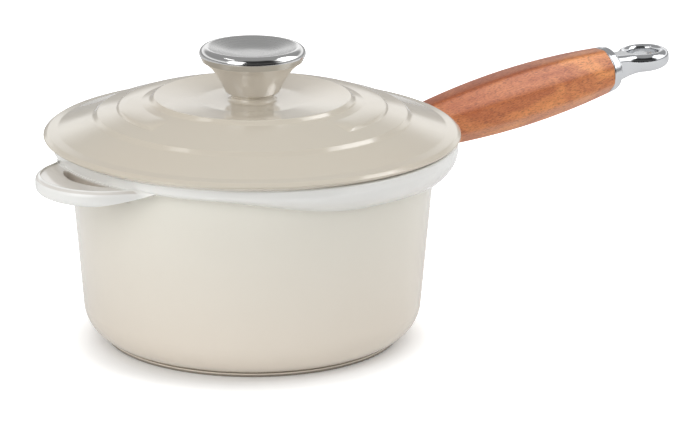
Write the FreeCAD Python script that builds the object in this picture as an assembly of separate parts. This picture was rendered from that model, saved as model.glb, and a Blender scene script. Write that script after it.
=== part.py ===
import FreeCAD, Part
import math
import os

# Enamelled cast-iron saucepan, 18 cm, with its cast-iron lid.
# Millimetres.  Origin: centre of the underside of the base.  +X: towards the long handle.  +Z: up.

# ---------------------------------------------------------------- pan casting
RIM_HEIGHT = 95.0             # top of the rim above the table
RIM_BACK_RADIUS = 92.5        # outer radius of the rim on the helper loop's side
RIM_LIP_GROWTH = 3.2          # and how much wider it is at the lips and the neck
RIM_LIP_BEARING = 92.0        # degrees from the long handle: the full width is reached here
RIM_BACK_BEARING = 140.0      # degrees: and has faded out here
RIM_EDGE_ROUND = 1.0
RIM_ROUND_STEPS = 4           # outlines swept up the rounded edge
RIM_INNER_ROUND = 1.6
RIM_BAND_HEIGHT = 3.8         # upright edge of the rim flange
WALL_FOOT_RADIUS = 77.65      # outer wall, carried straight down to the table
WALL_DRAFT = 4.8              # degrees
WALL_THICKNESS = 3.7
FLOOR_THICKNESS = 4.6
FOOT_ROUND = 16.0
FOOT_STEP = 1.2               # low foot disc that the pan stands on
FOOT_RADIUS = 68.6
FOOT_EDGE_ROUND = 0.5
BOWL_ROUND = 11.0

# The flange's underside sweeps down to the wall.  Its depth below the rim depends on the bearing
# from the long handle: shallow at the back, deeper at the two pouring lips, deepest at the neck.
FLARE_BACK_DEPTH = 7.8
FLARE_LIP_DEPTH = 7.4
FLARE_LIP_BEARING = 92.0      # degrees: full lip depth is reached here
FLARE_BACK_BEARING = 140.0    # degrees: and has faded out here
FLARE_NECK_DEPTH = 19.4
FLARE_NECK_SPREAD = 43.7      # degrees
FLARE_SINK = 0.4              # how far the swept surface runs into the wall
FLARE_UPRIGHT_PULL = 0.42     # how long the sweep stays upright under the band, as a share of its depth
FLARE_WALL_PULL = (0.42, 0.22)        # and how it runs out to the wall, as shares of its width and depth
FLARE_STEPS = 5               # outlines swept down the flare

LIP_SCOOP_RADIUS = 26.0       # round channel that each pouring lip has inside the rim
LIP_SCOOP_REACH = 92.0        # how far from the pan's axis the channel reaches at the rim
LIP_SCOOP_DEPTH = 15.5

# ---------------------------------------------------------------- helper loop, opposite the handle
LOOP_CENTRE = 82.9            # centre of its outline from the pan's axis
LOOP_RADIUS = 31.7
LOOP_ROOT_FILLET = 19.0
LOOP_TUCK = 0.5               # its root fillets end this far inside the rim
LOOP_TOP = 90.9
LOOP_THICKNESS = 7.7
LOOP_EDGE_ROUND = 2.8
LOOP_BORDER = 2.2
LOOP_RECESS = 0.9
LOOP_WEB = 14.4               # width of the loop between the slot and the outer edge
LOOP_SLOT_CLEARANCE = 0.9     # the slot starts this far outside the rim
SLOT_RADIUS = 27.0            # outer curve of the crescent slot
SLOT_TIP_ROUND = 1.2
LOOP_ROOT_RISE = 15.0         # the underside rises over this length into the rim
LOOP_ROOT_BEND = 40.0         # and starts to rise in this round

# ---------------------------------------------------------------- long handle
HANDLE_TILT = 5.4             # degrees, upwards
NECK_REACH = 99.0             # end face of the cast neck from the pan's axis
NECK_END_HEIGHT = 83.35       # handle axis above the table at that face
NECK_ROUND = 1.0
NECK_STATIONS = (             # distance behind the end face, then width, height and drop of the
    (26.0, 2.40, 1.25, 0.34),         # section there as shares of the wood's root
    (19.0, 1.90, 1.20, 0.22),
    (12.0, 1.42, 1.12, 0.10),
    (6.0, 1.14, 1.05, 0.03),
    (0.0, 1.02, 1.02, 0.0),
)
TENON_SIDE = 12.0             # square tenon that stops the wood from turning
TENON_LENGTH = 6.0
TENON_CLEARANCE = 0.15
TENON_CORNER = 2.0

WOOD_LENGTH = 116.0
WOOD_ROOT_HEIGHT = 20.2
WOOD_MID_HEIGHT = 28.3
WOOD_END_HEIGHT = 22.6
WOOD_ROOT_WIDTH = 20.0
WOOD_MID_WIDTH = 26.4
WOOD_END_WIDTH = 22.0
WOOD_MID_AT = 0.576           # share of the length where the grip is thickest
WOOD_STEPS = 8                # sections along the grip
FACET_SHARPNESS = 22.0        # power of the soft eight-sided section

COLLAR_LENGTH = 7.0
COLLAR_RADIUS = 11.8
COLLAR_FACE_RADIUS = 9.2
COLLAR_RECESS = 3.0
COLLAR_EDGE_ROUND = 0.6
COLLAR_SHOULDER = 1.6         # the shoulder starts this far before the face
COLLAR_TAPER = 0.5            # and the collar is this much slimmer there
COLLAR_ROUND = 2.2
COLLAR_FACE_STEP = 1.0        # raised ring on the face
COLLAR_FACE_ROUND = 0.45
SPIGOT_RADIUS = 9.6           # turned end of the wood inside the collar
SPIGOT_CLEARANCE = 0.1

ROD_RADIUS = 4.0
ROD_THREAD_CLEARANCE = 0.05
ROD_BORE_CLEARANCE = 0.5
ROD_IN_NECK = 12.0
ROD_IN_EYE = 10.0
ROD_HOLE_SPARE = 1.0          # the holes run this much deeper than the rod
ROD_END_ROUND = 0.6

EYE_LENGTH = 21.5             # collar face to centre of the eye
EYE_HOLE_RADIUS = 7.75
EYE_WEB = 5.25                # width of the ring round the hole
EYE_NECK_WIDTH = 14.0
EYE_NECK_HEIGHT = 13.4
EYE_NECK_FILLET = 12.0
EYE_TIP_HEIGHT = 7.6
EYE_HOLE_RISE = 0.6           # the eye is this much thicker at its hole than at its tip, each side
EYE_SIDE_ROUND = 24.0         # hollow of its sides between neck and hole
EYE_ROUND = 3.1
EYE_HOLE_ROUND = 1.9

# ---------------------------------------------------------------- lid
LID_RADIUS = 97.0
LID_EDGE_HEIGHT = 3.0         # rounded outer edge of the lid
LID_EDGE_GAP = 1.6            # the lid's outer edge stands clear of the rim by this much
LID_EDGE_SEAT = 3.0           # width of the slope from that edge to the seat on the rim
LID_EDGE_LEAN = 0.3
LID_THICKNESS = 3.8
SKIRT_CLEARANCE = 1.0         # locating skirt inside the pan
SKIRT_DEPTH = 5.5
SKIRT_THICKNESS = 4.0
SKIRT_TAPER = 0.4
SKIRT_ROUND = 1.2
SKIRT_ROOT = 2.2              # height of the inner corner above the rim
SKIRT_ROOT_ROUND = 4.0
RING_RADII = (45.6, 61.5, 71.9)       # crests of the three stepped rings
RING_HEIGHTS = (19.6, 15.5, 12.0)     # of those crests above the rim
RING_STEP = 1.9               # height of each step
RING_FOOT = 2.0               # and its width
RING_CREST_ROUND = 0.8
RING_FOOT_ROUND = 2.2
RING_UNDER_ROUND = 12.0
RING_SHOULDER = 0.6           # ring 2's crest runs this far to each side
RING_FLANK = 11.6             # and its inner flank starts this far inside the crest
RING_SWELL = ((0.32, 0.26), (0.78, 0.84), (1.0, 1.0)) # flank up to the crest: shares of its run and rise
RING_FALL = (0.88, 0.04)      # shares of the rise left at the top and the foot of its outer face
RING_SINK = 0.25              # both its edges end this far below the cone
RING_END_SHARE = 0.03         # height left at its faded ends
BEAD_WIDTH = 6.6              # rounded bead round the lid's edge
BEAD_HEIGHT = 4.5
BEAD_FALL = 0.7               # the bead's outer shoulder lies this much lower
BEAD_SHOULDER = 2.0
BEAD_ROUND = 2.2
BEAD_HOLLOW_ROUND = 5.0
DISH_HEIGHT = 17.6            # lowest point of the dished centre above the rim
DISH_FLAT = 14.0              # the dish is nearly level this far out from the boss
DISH_FLAT_RISE = 0.2
DISH_ROUND = 30.0
BOSS_RADIUS = 10.3            # cast boss under the knob
BOSS_HEIGHT = 3.8
BOSS_TIER = 1.7               # its upper tier is this high
BOSS_TIER_STEP = 0.5          # and this much slimmer
BOSS_EDGE_ROUND = 0.5
BOSS_FOOT_ROUND = 1.8
BOSS_FOOT_SPREAD = 0.5
BOSS_BACKING = 4.0            # the flat under the boss is this much wider
BOSS_BACKING_ROUND = 8.0
PANEL_BEARING = -128.0        # degrees: middle of the plain panel that interrupts ring 2
PANEL_HALF_WIDTH = 45.0       # degrees
PANEL_FADE = 6.0              # degrees: ring 2 fades out over this much at each end
LID_BORE_RADIUS = 3.0

# ---------------------------------------------------------------- knob
KNOB_FOOT_RADIUS = 12.4
KNOB_FOOT_ROUND = 1.6
KNOB_RADIUS = 24.7
KNOB_HEIGHT = 21.6
KNOB_SEAM_HEIGHT = 15.1       # joint of cap and body above the boss
KNOB_SEAM_RADIUS = 23.4
KNOB_SEAM_STEP = 0.35         # the body is this much slimmer than the cap at the joint
KNOB_FLANK = ((2.8, 6.0, 14.0), (6.6, 11.6, 12.0))    # beyond the foot, above it, and round
KNOB_WALL = 1.3
KNOB_LIP_RADIUS = 20.9        # crest of the rolled rim
KNOB_LIP_ROUND = 1.8
KNOB_ROLL_ROUND = 3.3         # of the rolled rim from its crest to its side
KNOB_ROLL_LOW = 3.7           # it turns in to the joint this far below the crest
KNOB_TURN_ROUND = 1.6
KNOB_DISH_DEPTH = 3.2
KNOB_DISH_RADIUS = 9.0
KNOB_DISH_ROUND = 30.0
KNOB_INNER_ROUND = 1.0
INSERT_RADIUS = 5.5
INSERT_FLANGE_RADIUS = 8.5
INSERT_FLANGE = 1.4
INSERT_HEIGHT = 12.0
INSERT_EDGE_ROUND = 0.3
INSERT_CLEARANCE = 0.05
SCREW_RADIUS = 2.5
SCREW_CLEARANCE = 0.05
SCREW_HEAD_RADIUS = 4.8
SCREW_HEAD_HEIGHT = 2.8
SCREW_HEAD_ROUND = 1.4
SCREW_END_ROUND = 0.5
SCREW_SLOT_WIDTH = 1.2
SCREW_SLOT_DEPTH = 1.3
SCREW_IN_INSERT = 9.0
WASHER_RADIUS = 7.5
WASHER_THICKNESS = 1.0
WASHER_CLEARANCE = 0.3
FASTENER_EDGE_ROUND = 0.2

SECTION_POINTS = 48           # points round a swept section
CUT_SPARE = 1.0               # cutting shapes run this far past what they cut
SAME_PLACE = 0.01             # places closer than this count as one

# ---------------------------------------------------------------- worked-out places
BOSS_TOP = RIM_HEIGHT + DISH_HEIGHT + BOSS_HEIGHT
LID_UNDERSIDE = RIM_HEIGHT + DISH_HEIGHT - LID_THICKNESS
LOOP_BOTTOM = LOOP_TOP - LOOP_THICKNESS
LOOP_ROOT_REACH = RIM_BACK_RADIUS - LOOP_TUCK
SLOT_CENTRE = LOOP_CENTRE + LOOP_RADIUS - LOOP_WEB - SLOT_RADIUS
EYE_RADIUS = EYE_HOLE_RADIUS + EYE_WEB
EYE_TIP = EYE_LENGTH + EYE_RADIUS


def vec(x, y, z):
    return FreeCAD.Vector(x, y, z)


def wall_radius(z):
    """Outer radius of the pan's wall at height z."""
    return WALL_FOOT_RADIUS + z * math.tan(math.radians(WALL_DRAFT))


def bowl_radius(z):
    """Inner radius of the pan's wall at height z."""
    return wall_radius(z) - WALL_THICKNESS / math.cos(math.radians(WALL_DRAFT))


def rounded_wire(corners, to_point):
    """Closed wire through corners (a, b, round); each corner is rounded by a tangent arc."""
    edges = []
    count = len(corners)
    starts = []
    ends = []
    for i in range(count):
        before, here, after = corners[i - 1], corners[i], corners[(i + 1) % count]
        arc = corner_arc(before, here, after)
        starts.append(arc[0])
        ends.append(arc[2])
        if here[2] > 0:
            points = [to_point(*place) for place in arc]
            edges.append(Part.Arc(points[0], points[1], points[2]).toShape())
    lines = []
    for i in range(count):
        first, last = to_point(*ends[i]), to_point(*starts[(i + 1) % count])
        if first.distanceToPoint(last) > 1e-6:
            lines.append(Part.LineSegment(first, last).toShape())
    return Part.Wire(Part.__sortEdges__(edges + lines))


def corner_arc(before, here, after):
    """Start, middle and end of the arc that rounds one corner."""
    ax, ay = before[0] - here[0], before[1] - here[1]
    bx, by = after[0] - here[0], after[1] - here[1]
    la, lb = math.hypot(ax, ay), math.hypot(bx, by)
    ax, ay, bx, by = ax / la, ay / la, bx / lb, by / lb
    if here[2] <= 0:
        return (here[:2], here[:2], here[:2])
    half = math.acos(max(-1.0, min(1.0, ax * bx + ay * by))) / 2
    run = here[2] / math.tan(half)
    mx, my = ax + bx, ay + by
    lm = math.hypot(mx, my)
    reach = here[2] / math.sin(half) - here[2]
    start = (here[0] + ax * run, here[1] + ay * run)
    middle = (here[0] + mx / lm * reach, here[1] + my / lm * reach)
    end = (here[0] + bx * run, here[1] + by * run)
    return (start, middle, end)


def turned(corners):
    """Solid of revolution about Z from corners (radius, height, round)."""
    wire = rounded_wire(corners, lambda r, z: vec(r, 0, z))
    return Part.Face(wire).revolve(vec(0, 0, 0), vec(0, 0, 1), 360)


def closed_curve(points):
    curve = Part.BSplineCurve()
    curve.interpolate(points, PeriodicFlag=True)
    return Part.Wire(curve.toShape())


def along_handle(shape):
    """Moves a piece from the handle's own frame (x along the handle) to its place."""
    shape.rotate(vec(0, 0, 0), vec(0, 1, 0), -HANDLE_TILT)
    shape.translate(vec(NECK_REACH, 0, NECK_END_HEIGHT))
    return shape


def handle_cylinder(radius, start, end):
    return Part.makeCylinder(radius, end - start, vec(start, 0, 0), vec(1, 0, 0))


def handle_turned(corners):
    """Solid of revolution about the handle's axis from corners (x, radius, round)."""
    wire = rounded_wire(corners, lambda x, r: vec(x, 0, r))
    return Part.Face(wire).revolve(vec(0, 0, 0), vec(1, 0, 0), 360)


# ---------------------------------------------------------------- pan
def smooth_step(value):
    value = max(0.0, min(1.0, value))
    return value * value * (3 - 2 * value)


def front_share(bearing, full, faded):
    """1 from the bearing full forward, 0 from the bearing faded back; degrees from the handle."""
    return smooth_step((faded - abs(bearing)) / (faded - full))


def flare_depth(bearing):
    """Depth of the flange's sweep below the rim."""
    neck = math.exp(-(bearing / FLARE_NECK_SPREAD) ** 2)
    lip = front_share(bearing, FLARE_LIP_BEARING, FLARE_BACK_BEARING)
    return FLARE_BACK_DEPTH + FLARE_LIP_DEPTH * lip + FLARE_NECK_DEPTH * neck


def rim_radius(bearing):
    return RIM_BACK_RADIUS + RIM_LIP_GROWTH * front_share(bearing, RIM_LIP_BEARING, RIM_BACK_BEARING)


def flare_point(bearing, share):
    """Point of the flange's underside: share 0 at the upright band, 1 at the wall."""
    top = RIM_HEIGHT - RIM_BAND_HEIGHT
    low = RIM_HEIGHT - flare_depth(bearing)
    root = wall_radius(low) - FLARE_SINK
    edge = rim_radius(bearing)
    drop, width = top - low, edge - root
    handles = (
        (edge, top),
        (edge, top - FLARE_UPRIGHT_PULL * drop),
        (root + FLARE_WALL_PULL[0] * width, low + FLARE_WALL_PULL[1] * drop),
        (root, low),
    )
    weights = ((1 - share) ** 3, 3 * share * (1 - share) ** 2, 3 * share ** 2 * (1 - share), share ** 3)
    radius = sum(w * h[0] for w, h in zip(weights, handles))
    height = sum(w * h[1] for w, h in zip(weights, handles))
    angle = math.radians(bearing)
    return vec(radius * math.cos(angle), radius * math.sin(angle), height)


def bearings():
    """Even bearings all round, from -180 to 180 degrees."""
    count = 2 * SECTION_POINTS
    return [((i * 360.0 / count + 180) % 360) - 180 for i in range(count)]


def round_curve(radius, height):
    angles = [math.radians(bearing) for bearing in bearings()]
    return closed_curve([vec(radius * math.cos(a), radius * math.sin(a), height) for a in angles])


def rim_curve(inset, height):
    """Outline of the rim, moved inwards by inset."""
    points = []
    for bearing in bearings():
        radius = rim_radius(bearing) - inset
        angle = math.radians(bearing)
        points.append(vec(radius * math.cos(angle), radius * math.sin(angle), height))
    return closed_curve(points)


def flare_curve(share):
    return closed_curve([flare_point(bearing, share) for bearing in bearings()])


def rim_round_curves():
    """Outlines up the rounded top edge of the rim."""
    curves = []
    for i in range(RIM_ROUND_STEPS + 1):
        turn = math.radians(90.0 * i / RIM_ROUND_STEPS)
        inset = RIM_EDGE_ROUND * (1 - math.cos(turn))
        curves.append(rim_curve(inset, RIM_HEIGHT - RIM_EDGE_ROUND * (1 - math.sin(turn))))
    return curves


def make_flange():
    """The rim with its sweep down to the wall, as one solid plug; the bowl is cut out later."""
    plug_low = RIM_HEIGHT - FLARE_BACK_DEPTH - FLARE_LIP_DEPTH - FLARE_NECK_DEPTH - WALL_THICKNESS
    sweeps = [flare_curve(i / FLARE_STEPS) for i in range(FLARE_STEPS + 1)]
    edge = rim_round_curves()
    plug_bottom = round_curve(bowl_radius(plug_low) - WALL_THICKNESS, plug_low)
    rounded = Part.makeLoft(edge, False, False)
    band = Part.makeLoft([edge[0], sweeps[0]], False, True)
    sweep = Part.makeLoft(sweeps, False, False)
    inside = Part.makeLoft([sweeps[-1], plug_bottom], False, True)
    faces = rounded.Faces + band.Faces + sweep.Faces + inside.Faces
    shell = Part.makeShell(faces + [Part.Face(edge[-1]), Part.Face(plug_bottom)])
    shell.sewShape()
    return Part.makeSolid(shell)


def make_cup():
    """Outside of the pan's bowl, solid, up to just under the rim."""
    top = RIM_HEIGHT - RIM_EDGE_ROUND
    cup = turned([
        (0, FOOT_STEP, 0),
        (wall_radius(FOOT_STEP), FOOT_STEP, FOOT_ROUND),
        (wall_radius(top), top, 0),
        (0, top, 0),
    ])
    foot = turned([
        (0, 0, 0),
        (FOOT_RADIUS, 0, FOOT_EDGE_ROUND),
        (FOOT_RADIUS, FOOT_STEP + FOOT_EDGE_ROUND, 0),
        (0, FOOT_STEP + FOOT_EDGE_ROUND, 0),
    ])
    return cup.fuse(foot)


def make_bowl():
    """The space inside the pan, with the rounded inner edge of the rim."""
    above = RIM_HEIGHT + RIM_INNER_ROUND
    throat = bowl_radius(RIM_HEIGHT)
    space = turned([
        (0, FLOOR_THICKNESS, 0),
        (bowl_radius(FLOOR_THICKNESS), FLOOR_THICKNESS, BOWL_ROUND),
        (throat, RIM_HEIGHT, 0),
        (throat, above, 0),
        (0, above, 0),
    ])
    edge = turned([
        (throat - RIM_INNER_ROUND, RIM_HEIGHT, 0),
        (throat + RIM_INNER_ROUND, RIM_HEIGHT, 0),
        (throat - RIM_INNER_ROUND, RIM_HEIGHT - 2 * RIM_INNER_ROUND, 0),
    ])
    return space.fuse(edge)


def make_lip_scoops():
    """Round pouring channels inside the rim, one at each side."""
    lift = LIP_SCOOP_RADIUS - LIP_SCOOP_DEPTH
    reach = math.sqrt(LIP_SCOOP_RADIUS ** 2 - lift ** 2)
    scoops = []
    for side in (-1, 1):
        centre = vec(0, side * (LIP_SCOOP_REACH - reach), RIM_HEIGHT + lift)
        scoops.append(Part.makeSphere(LIP_SCOOP_RADIUS, centre))
    return scoops


def loop_root_fillet():
    """Centre of the concave fillet between the rim circle and the loop's outline."""
    rim = LOOP_ROOT_REACH + LOOP_ROOT_FILLET
    loop = LOOP_RADIUS + LOOP_ROOT_FILLET
    x = (rim ** 2 - loop ** 2 + LOOP_CENTRE ** 2) / (2 * LOOP_CENTRE)
    return (-x, math.sqrt(rim ** 2 - x ** 2))


def loop_outline(inset, height):
    """Plan outline of the helper loop, from root fillet to root fillet and back inside the rim."""
    fx, fy = loop_root_fillet()
    radius = LOOP_RADIUS - inset
    rim_share = LOOP_ROOT_REACH / (LOOP_ROOT_REACH + LOOP_ROOT_FILLET)
    on_rim = (fx * rim_share, fy * rim_share)
    dx, dy = fx + LOOP_CENTRE, fy
    reach = LOOP_RADIUS + LOOP_ROOT_FILLET
    on_loop = (-LOOP_CENTRE + dx * radius / reach, dy * radius / reach)
    turn_radius = LOOP_ROOT_FILLET + inset
    mx, my = (on_rim[0] + on_loop[0]) / 2 - fx, (on_rim[1] + on_loop[1]) / 2 - fy
    scale = turn_radius / math.hypot(mx, my)
    middle = (fx + mx * scale, fy + my * scale)
    start_scale = turn_radius / LOOP_ROOT_FILLET
    start = (fx + (on_rim[0] - fx) * start_scale, fy + (on_rim[1] - fy) * start_scale)
    inner = (wall_radius(height) - WALL_THICKNESS / 2) / math.hypot(*start)
    inside = (start[0] * inner, start[1] * inner)
    mid_inside = -math.hypot(*inside)

    def at(place, side):
        return vec(place[0], side * place[1], height)

    edges = [
        Part.LineSegment(at(inside, 1), at(start, 1)).toShape(),
        Part.Arc(at(start, 1), at(middle, 1), at(on_loop, 1)).toShape(),
        Part.Arc(at(on_loop, 1), vec(-LOOP_CENTRE - radius, 0, height), at(on_loop, -1)).toShape(),
        Part.Arc(at(on_loop, -1), at(middle, -1), at(start, -1)).toShape(),
        Part.LineSegment(at(start, -1), at(inside, -1)).toShape(),
        Part.Arc(at(inside, -1), vec(mid_inside, 0, height), at(inside, 1)).toShape(),
    ]
    return Part.Face(Part.Wire(edges))


def make_loop_slot():
    """Crescent finger slot between the rim and the loop."""
    low = LOOP_BOTTOM - CUT_SPARE
    height = RIM_HEIGHT + CUT_SPARE - low
    outer = Part.makeCylinder(SLOT_RADIUS, height, vec(-SLOT_CENTRE, 0, low))
    inner = Part.makeCylinder(RIM_BACK_RADIUS + LOOP_SLOT_CLEARANCE, height, vec(0, 0, low))
    slot = outer.cut(inner)
    upright = [e for e in slot.Edges if is_slot_end(e, height)]
    return slot.makeFillet(SLOT_TIP_ROUND, upright)


def is_slot_end(edge, height):
    """True for the upright edges at the slot's two tips, but not for a cylinder's seam."""
    upright = abs(edge.BoundBox.ZLength - height) < SAME_PLACE
    return upright and abs(edge.Vertexes[0].Y) > SLOT_RADIUS / 4


def make_loop():
    """Helper loop: a flat crescent with a rounded edge, a recessed top and a finger slot."""
    plate = loop_outline(0.0, LOOP_BOTTOM).extrude(vec(0, 0, LOOP_THICKNESS))
    rounded = [e for e in plate.Edges if is_outer_loop_edge(e)]
    plate = plate.makeFillet(LOOP_EDGE_ROUND, rounded)
    recess = loop_outline(LOOP_BORDER, LOOP_TOP - LOOP_RECESS).extrude(vec(0, 0, LOOP_THICKNESS))
    recess = recess.cut(Part.makeCylinder(RIM_BACK_RADIUS, 2 * LOOP_THICKNESS, vec(0, 0, LOOP_BOTTOM)))
    plate = plate.cut(recess)
    half = abs(loop_root_fillet()[1]) * LOOP_ROOT_REACH / (LOOP_ROOT_REACH + LOOP_ROOT_FILLET)
    profile = [
        (-half, LOOP_TOP, 0),
        (-half, LOOP_TOP - LOOP_RECESS, 0),
        (-half + LOOP_ROOT_RISE, LOOP_BOTTOM, LOOP_ROOT_BEND),
        (half - LOOP_ROOT_RISE, LOOP_BOTTOM, LOOP_ROOT_BEND),
        (half, LOOP_TOP - LOOP_RECESS, 0),
        (half, LOOP_TOP, 0),
    ]
    wire = rounded_wire(profile, lambda y, z: vec(-2 * LOOP_CENTRE, y, z))
    keep = Part.Face(wire).extrude(vec(2 * LOOP_CENTRE, 0, 0))
    return plate.common(keep)


def is_outer_loop_edge(edge):
    """True for the curved outer edges of the loop's plate, top and bottom."""
    flat = edge.BoundBox.ZLength < SAME_PLACE
    middle = edge.valueAt((edge.FirstParameter + edge.LastParameter) / 2)
    return flat and math.hypot(middle.x, middle.y) > RIM_BACK_RADIUS


def soft_octagon(x, width, height, centre=0.0):
    """Soft eight-sided closed section across the handle's axis."""
    points = []
    for i in range(SECTION_POINTS):
        angle = 2 * math.pi * i / SECTION_POINTS
        sides = [abs(math.cos(angle - k * math.pi / 4)) ** FACET_SHARPNESS for k in range(4)]
        radius = sum(sides) ** (-1 / FACET_SHARPNESS)
        y, z = radius * math.cos(angle) * width / 2, radius * math.sin(angle) * height / 2
        points.append(vec(x, y, centre + z))
    return closed_curve(points)


def make_neck():
    """Cast neck that grows out of the flange and ends in a face for the wood."""
    wires = []
    for back, wide, tall, drop in NECK_STATIONS:
        height = tall * WOOD_ROOT_HEIGHT
        wires.append(soft_octagon(-back, wide * WOOD_ROOT_WIDTH, height, -drop * WOOD_ROOT_HEIGHT))
    neck = Part.makeLoft(wires, True, False)
    face_edges = [e for e in neck.Edges if e.BoundBox.XMin > -SAME_PLACE]
    neck = neck.makeFillet(NECK_ROUND, face_edges)
    tenon = square_bar(TENON_SIDE, TENON_CORNER, -NECK_ROUND, TENON_LENGTH)
    return along_handle(neck.fuse(tenon))


def square_bar(side, corner, start, end):
    """Square bar with rounded corners along the handle's axis."""
    half = side / 2
    corners = [(-half, -half, corner), (half, -half, corner), (half, half, corner), (-half, half, corner)]
    wire = rounded_wire(corners, lambda y, z: vec(start, y, z))
    return Part.Face(wire).extrude(vec(end - start, 0, 0))


def make_pan_body():
    """The pan: bowl, flange with two pouring lips, helper loop and handle neck in one casting."""
    body = make_cup().fuse(make_flange())
    body = body.fuse(make_neck())
    body = body.fuse(make_loop())
    body = body.cut(make_bowl())
    for scoop in make_lip_scoops():
        body = body.cut(scoop)
    body = body.cut(make_loop_slot())
    start, end = -ROD_IN_NECK - ROD_HOLE_SPARE, TENON_LENGTH + CUT_SPARE
    rod_hole = handle_cylinder(ROD_RADIUS + ROD_THREAD_CLEARANCE, start, end)
    return body.cut(along_handle(rod_hole)).removeSplitter()


# ---------------------------------------------------------------- handle pieces
def wood_size(share, root, middle, end):
    """Barrel-shaped run of a size along the wood."""
    m = WOOD_MID_AT
    bend = ((end - root) * m - (middle - root)) / (m - m * m)
    slope = (end - root) - bend
    return root + slope * share + bend * share * share


def make_wood_handle():
    wires = []
    for i in range(WOOD_STEPS + 1):
        share = i / WOOD_STEPS
        width = wood_size(share, WOOD_ROOT_WIDTH, WOOD_MID_WIDTH, WOOD_END_WIDTH)
        height = wood_size(share, WOOD_ROOT_HEIGHT, WOOD_MID_HEIGHT, WOOD_END_HEIGHT)
        wires.append(soft_octagon(share * WOOD_LENGTH, width, height))
    wood = Part.makeLoft(wires, True, False)
    spigot_end = WOOD_LENGTH + COLLAR_RECESS - SPIGOT_CLEARANCE
    wood = wood.fuse(handle_cylinder(SPIGOT_RADIUS, WOOD_LENGTH - CUT_SPARE, spigot_end))
    socket = TENON_SIDE + 2 * TENON_CLEARANCE
    wood = wood.cut(square_bar(socket, TENON_CORNER, -CUT_SPARE, TENON_LENGTH + TENON_CLEARANCE))
    wood = wood.cut(handle_cylinder(ROD_RADIUS + ROD_BORE_CLEARANCE, 0.0, spigot_end + CUT_SPARE))
    return along_handle(wood)


def make_end_collar():
    """Chromed collar over the turned end of the wood."""
    start, end = WOOD_LENGTH, WOOD_LENGTH + COLLAR_LENGTH
    bore = ROD_RADIUS + ROD_BORE_CLEARANCE
    recess = SPIGOT_RADIUS + SPIGOT_CLEARANCE
    return along_handle(handle_turned([
        (start + COLLAR_RECESS, bore, 0),
        (start + COLLAR_RECESS, recess, 0),
        (start, recess, 0),
        (start, COLLAR_RADIUS, COLLAR_EDGE_ROUND),
        (end - COLLAR_SHOULDER, COLLAR_RADIUS - COLLAR_TAPER, COLLAR_ROUND),
        (end - COLLAR_FACE_STEP, COLLAR_FACE_RADIUS, COLLAR_FACE_ROUND),
        (end, COLLAR_FACE_RADIUS, COLLAR_FACE_ROUND),
        (end, bore, 0),
    ]))


def eye_outline(height):
    """Plan outline of the eye: a straight neck that runs through concave fillets into the ring."""
    half_neck = EYE_NECK_WIDTH / 2
    fillet_y = half_neck + EYE_NECK_FILLET
    reach = EYE_RADIUS + EYE_NECK_FILLET
    fillet_x = EYE_LENGTH - math.sqrt(reach ** 2 - fillet_y ** 2)
    share = EYE_RADIUS / reach
    on_ring = (EYE_LENGTH + (fillet_x - EYE_LENGTH) * share, fillet_y * share)
    start = math.atan2(on_ring[1] - fillet_y, on_ring[0] - fillet_x)
    turn = (start - math.pi / 2) / 2
    middle = (fillet_x + EYE_NECK_FILLET * math.cos(turn), fillet_y + EYE_NECK_FILLET * math.sin(turn))

    def at(place, side):
        return vec(place[0], side * place[1], height)

    edges = [
        Part.LineSegment(vec(0, half_neck, height), vec(fillet_x, half_neck, height)).toShape(),
        Part.Arc(vec(fillet_x, half_neck, height), at(middle, 1), at(on_ring, 1)).toShape(),
        Part.Arc(at(on_ring, 1), vec(EYE_TIP, 0, height), at(on_ring, -1)).toShape(),
        Part.Arc(at(on_ring, -1), at(middle, -1), vec(fillet_x, -half_neck, height)).toShape(),
        Part.LineSegment(vec(fillet_x, -half_neck, height), vec(0, -half_neck, height)).toShape(),
        Part.LineSegment(vec(0, -half_neck, height), vec(0, half_neck, height)).toShape(),
    ]
    return Part.Face(Part.Wire(edges))


def make_hanging_eye():
    """Chromed eye that screws onto the tie rod and clamps the handle together."""
    eye = eye_outline(-EYE_NECK_HEIGHT).extrude(vec(0, 0, 2 * EYE_NECK_HEIGHT))
    high, low = EYE_NECK_HEIGHT / 2, EYE_TIP_HEIGHT / 2
    waist = EYE_LENGTH - EYE_HOLE_RADIUS
    side = rounded_wire([
        (0, -high, 0),
        (waist, -low - EYE_HOLE_RISE, EYE_SIDE_ROUND),
        (EYE_TIP + CUT_SPARE, -low, 0),
        (EYE_TIP + CUT_SPARE, low, 0),
        (waist, low + EYE_HOLE_RISE, EYE_SIDE_ROUND),
        (0, high, 0),
    ], lambda x, z: vec(x, -2 * EYE_RADIUS, z))
    eye = eye.common(Part.Face(side).extrude(vec(0, 4 * EYE_RADIUS, 0)))
    eye = round_edges(eye, EYE_ROUND, is_eye_outer_edge)
    hole = Part.makeCylinder(EYE_HOLE_RADIUS, 4 * EYE_RADIUS, vec(EYE_LENGTH, 0, -2 * EYE_RADIUS))
    eye = eye.cut(hole)
    eye = round_edges(eye, EYE_HOLE_ROUND, is_eye_hole_edge)
    rod_hole = handle_cylinder(ROD_RADIUS + ROD_THREAD_CLEARANCE, -CUT_SPARE, ROD_IN_EYE + ROD_HOLE_SPARE / 2)
    eye = eye.cut(rod_hole)
    eye.translate(vec(WOOD_LENGTH + COLLAR_LENGTH, 0, 0))
    return along_handle(eye)


def is_eye_outer_edge(edge):
    """True for the long edges round the eye, but not for its foot on the collar."""
    return edge.BoundBox.XLength > SAME_PLACE


def is_eye_hole_edge(edge):
    """True for the rims of the hole in the eye."""
    middle = edge.valueAt((edge.FirstParameter + edge.LastParameter) / 2)
    on_wall = abs(math.hypot(middle.x - EYE_LENGTH, middle.y) - EYE_HOLE_RADIUS) < SAME_PLACE
    around = edge.BoundBox.XLength > SAME_PLACE
    return on_wall and around


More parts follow.
